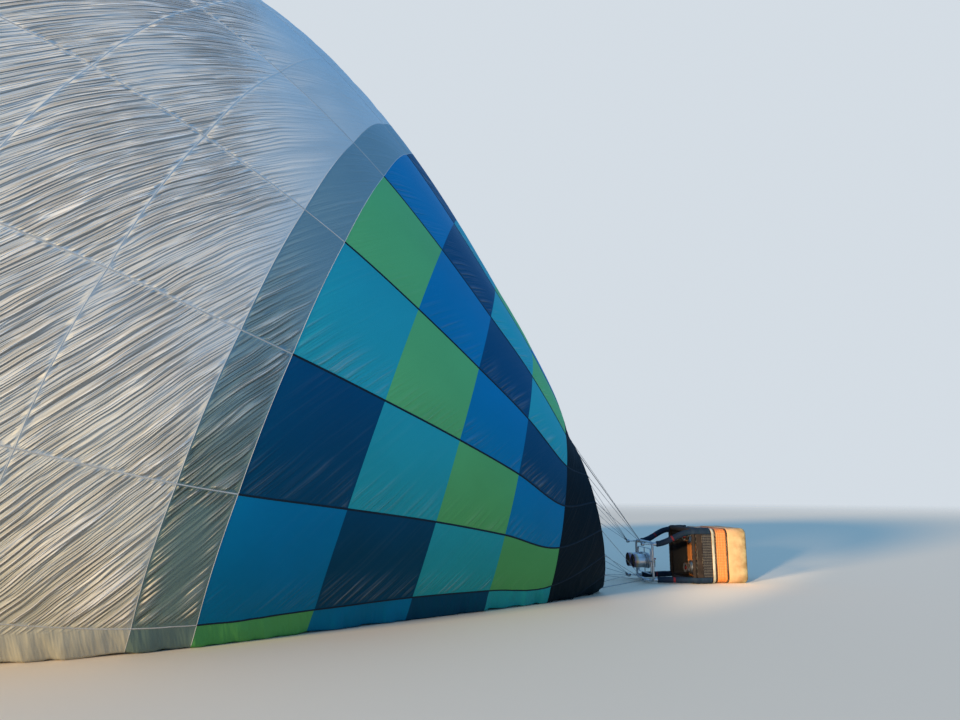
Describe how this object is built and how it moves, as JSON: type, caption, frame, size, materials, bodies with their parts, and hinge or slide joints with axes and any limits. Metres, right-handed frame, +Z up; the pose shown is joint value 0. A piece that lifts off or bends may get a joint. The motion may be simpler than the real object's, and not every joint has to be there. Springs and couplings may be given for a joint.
{
  "type": "hot air balloon, cold inflated on the ground",
  "caption": "Teardrop gored fabric envelope lying on its side, with a mouth band, vent panel, flying wires, gimballed twin burner and wicker basket on its side.",
  "frame": {"origin": "on the ground below the middle of the whole object's box", "axes": "+X from the crown to the basket, +Z up, -Y the side that the picture shows"},
  "size_m": [21.234, 14.1466, 10.9829],
  "materials": {
    "white_fabric": "coated ripstop nylon, wrinkled",
    "checker_fabric": "coated ripstop nylon in blue, navy, teal and green gores",
    "grey_fabric": "coated ripstop nylon, silver grey",
    "black_fabric": "matt flame-resistant fabric",
    "load_tape": "woven webbing",
    "steel_cable": "stranded cable",
    "padded_cover": "dark padded cover",
    "suede": "dark brown suede",
    "rawhide": "scuffed rawhide",
    "light_trim": "pale cord trim",
    "dark_trim": "dark cane trim",
    "wicker": "woven cane",
    "floor_wood": "varnished plywood and runners",
    "cylinder_metal": "brushed",
    "burner_metal": "satin"
  },
  "bodies": {
    "balloon": {"basket_floor": "floor_wood", "checker_row_1": "checker_fabric", "checker_row_2": "checker_fabric", "checker_row_3": "checker_fabric", "checker_row_4": "checker_fabric", "crown_tapes": "load_tape", "dark_strip": "dark_trim", "flying_wires_lower_far": "steel_cable", "flying_wires_lower_near": "steel_cable", "flying_wires_upper_far": "steel_cable", "flying_wires_upper_near": "steel_cable", "fuel_cylinder_1": "cylinder_metal", "fuel_cylinder_2": "cylinder_metal", "fuel_cylinder_3": "cylinder_metal", "fuel_cylinder_4": "cylinder_metal", "grey_band": "grey_fabric", "light_strip": "light_trim", "load_frame": "burner_metal", "mouth_band": "black_fabric", "mouth_hem": "black_fabric", "rawhide_skirt": "rawhide", "rim_pad": "suede", "suede_band": "suede", "upright_lower_far": "padded_cover", "upright_lower_near": "padded_cover", "upright_tail_lower_far": "padded_cover", "upright_tail_lower_near": "padded_cover", "upright_tail_upper_far": "padded_cover", "upright_tail_upper_near": "padded_cover", "upright_upper_far": "padded_cover", "upright_upper_near": "padded_cover", "white_crown": "white_fabric", "white_row_1": "white_fabric", "white_row_2": "white_fabric", "white_row_3": "white_fabric", "white_row_4": "white_fabric", "white_row_5": "white_fabric", "white_row_6": "white_fabric", "white_row_7": "white_fabric", "wicker_wall": "wicker"},
    "gimbal": {"gimbal_ring": "burner_metal"},
    "burners": {"burner_body_1": "burner_metal", "burner_body_2": "burner_metal", "burner_can_1": "burner_metal", "burner_can_2": "burner_metal", "burner_coil_1": "burner_metal", "burner_coil_2": "burner_metal", "burner_yoke": "burner_metal"},
    "vent": {"vent_panel": "white_fabric"}
  },
  "joints": [
    {"name": "gimbal_tilt", "type": "hinge", "parent": "balloon", "child": "gimbal", "pos_m": [8.797, 0.9, 0.395], "axis": [0, 1, 0], "range_deg": [-12, 12]},
    {"name": "burner_tilt", "type": "hinge", "parent": "gimbal", "child": "burners", "pos_m": [8.797, 0.9, 0.395], "axis": [0, 0, 1], "range_deg": [-12, 12]},
    {"name": "vent_pull", "type": "slide", "parent": "balloon", "child": "vent", "axis": [0.8829, 0, -0.4695], "range_m": [0, 1.2]}
  ]
}
